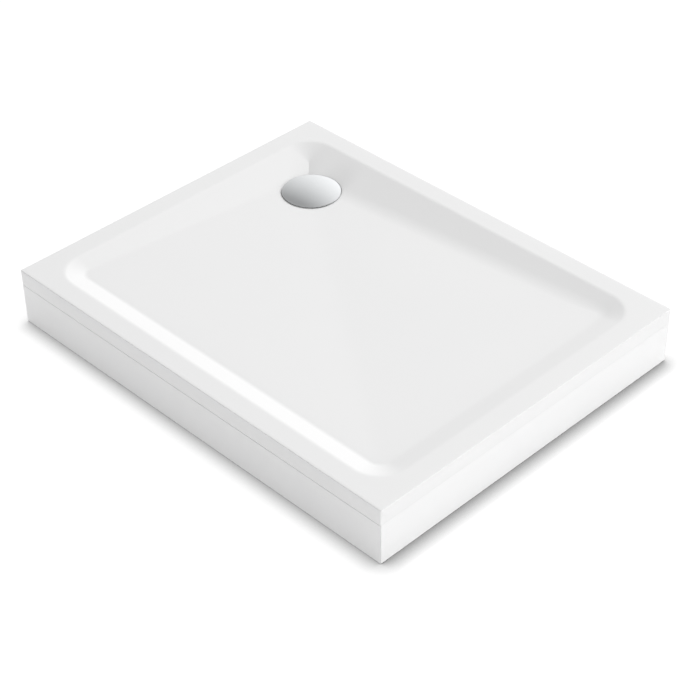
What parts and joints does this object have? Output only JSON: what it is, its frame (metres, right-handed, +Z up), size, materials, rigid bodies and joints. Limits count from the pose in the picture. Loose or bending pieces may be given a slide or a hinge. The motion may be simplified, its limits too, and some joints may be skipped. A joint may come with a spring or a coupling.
{
  "type": "shower tray",
  "caption": "Rectangular low shower tray with sloped floor and corner waste, on screw-adjustable legs, with clip-on panels along two exposed sides.",
  "frame": {"origin": "on the finished floor under the middle of the tray, the bottom centre of the bounding box", "axes": "+X along the long side towards the short panel, +Y towards the wall behind the tray, +Z up; the long panel faces -Y and the waste is in the corner of -X and +Y"},
  "size_m": [1, 0.8, 0.126],
  "materials": {
    "white_gloss": "gloss",
    "white_panel": "gloss",
    "cast_core": "matte",
    "white_clip": "satin",
    "white_fitting": "satin",
    "black_plastic": "satin",
    "grey_plastic": "satin",
    "black_rubber": "matte",
    "zinc_steel": "satin",
    "stainless_steel": "satin",
    "chrome": "polished"
  },
  "bodies": {
    "root": {"bracket_screws": "zinc_steel", "flange_gasket": "black_rubber", "flange_ring": "grey_plastic", "flange_screws": "stainless_steel", "leg_plate_back_left": "black_plastic", "leg_plate_back_right": "black_plastic", "leg_plate_centre": "black_plastic", "leg_plate_front_left": "black_plastic", "leg_plate_front_right": "black_plastic", "leg_plate_screws": "zinc_steel", "lock_nuts": "zinc_steel", "outlet_nut": "white_fitting", "outlet_seal": "black_rubber", "panel_bracket_front_left": "white_clip", "panel_bracket_front_middle": "white_clip", "panel_bracket_front_right": "white_clip", "panel_bracket_side_back": "white_clip", "panel_bracket_side_front": "white_clip", "trap_bowl": "white_fitting", "trap_collar": "white_fitting", "trap_gasket": "black_rubber", "trap_outlet": "white_fitting", "tray_cap": "white_gloss", "tray_core": "cast_core"},
    "foot_front_left": {"foot_front_left": "black_plastic", "foot_sole_front_left": "black_rubber"},
    "stud_front_left": {"leg_stud_front_left": "zinc_steel"},
    "foot_front_right": {"foot_front_right": "black_plastic", "foot_sole_front_right": "black_rubber"},
    "stud_front_right": {"leg_stud_front_right": "zinc_steel"},
    "foot_back_left": {"foot_back_left": "black_plastic", "foot_sole_back_left": "black_rubber"},
    "stud_back_left": {"leg_stud_back_left": "zinc_steel"},
    "foot_back_right": {"foot_back_right": "black_plastic", "foot_sole_back_right": "black_rubber"},
    "stud_back_right": {"leg_stud_back_right": "zinc_steel"},
    "foot_centre": {"foot_centre": "black_plastic", "foot_sole_centre": "black_rubber"},
    "stud_centre": {"leg_stud_centre": "zinc_steel"},
    "long_panel": {"long_panel": "white_panel", "long_panel_clips": "white_clip", "corner_angle": "white_clip"},
    "short_panel": {"short_panel": "white_panel", "short_panel_clips": "white_clip"},
    "strainer": {"strainer": "grey_plastic", "strainer_seal": "black_rubber"},
    "cover": {"cover_dome": "chrome", "cover_carrier": "grey_plastic"}
  },
  "joints": [
    {"name": "front_left_foot_height", "type": "slide", "parent": "root", "child": "foot_front_left", "axis": [0, 0, -1], "range_m": [-0.008, 0.02]},
    {"name": "front_left_stud_turn", "type": "hinge", "parent": "foot_front_left", "child": "stud_front_left", "pos_m": [-0.425, -0.325, 0.05], "axis": [0, 0, -1], "range_deg": [-1645.8, 4114.4]},
    {"name": "front_right_foot_height", "type": "slide", "parent": "root", "child": "foot_front_right", "axis": [0, 0, -1], "range_m": [-0.008, 0.02]},
    {"name": "front_right_stud_turn", "type": "hinge", "parent": "foot_front_right", "child": "stud_front_right", "pos_m": [0.425, -0.325, 0.05], "axis": [0, 0, -1], "range_deg": [-1645.8, 4114.4]},
    {"name": "back_left_foot_height", "type": "slide", "parent": "root", "child": "foot_back_left", "axis": [0, 0, -1], "range_m": [-0.008, 0.02]},
    {"name": "back_left_stud_turn", "type": "hinge", "parent": "foot_back_left", "child": "stud_back_left", "pos_m": [-0.425, 0.325, 0.05], "axis": [0, 0, -1], "range_deg": [-1645.8, 4114.4]},
    {"name": "back_right_foot_height", "type": "slide", "parent": "root", "child": "foot_back_right", "axis": [0, 0, -1], "range_m": [-0.008, 0.02]},
    {"name": "back_right_stud_turn", "type": "hinge", "parent": "foot_back_right", "child": "stud_back_right", "pos_m": [0.425, 0.325, 0.05], "axis": [0, 0, -1], "range_deg": [-1645.8, 4114.4]},
    {"name": "centre_foot_height", "type": "slide", "parent": "root", "child": "foot_centre", "axis": [0, 0, -1], "range_m": [-0.008, 0.02]},
    {"name": "centre_stud_turn", "type": "hinge", "parent": "foot_centre", "child": "stud_centre", "pos_m": [0, 0, 0.05], "axis": [0, 0, -1], "range_deg": [-1645.8, 4114.4]},
    {"name": "long_panel_pull", "type": "slide", "parent": "root", "child": "long_panel", "axis": [0, -1, 0], "range_m": [0, 0.06]},
    {"name": "short_panel_pull", "type": "slide", "parent": "root", "child": "short_panel", "axis": [1, 0, 0], "range_m": [0, 0.06]},
    {"name": "strainer_lift", "type": "slide", "parent": "root", "child": "strainer", "axis": [0, 0, 1], "range_m": [0, 0.12]},
    {"name": "cover_lift", "type": "slide", "parent": "strainer", "child": "cover", "axis": [0, 0, 1], "range_m": [0, 0.06]}
  ],
  "couplings": [
    {"joint": "front_left_stud_turn", "follows": "front_left_foot_height", "rad_per_m": 3590.4},
    {"joint": "front_right_stud_turn", "follows": "front_right_foot_height", "rad_per_m": 3590.4},
    {"joint": "back_left_stud_turn", "follows": "back_left_foot_height", "rad_per_m": 3590.4},
    {"joint": "back_right_stud_turn", "follows": "back_right_foot_height", "rad_per_m": 3590.4},
    {"joint": "centre_stud_turn", "follows": "centre_foot_height", "rad_per_m": 3590.4}
  ]
}
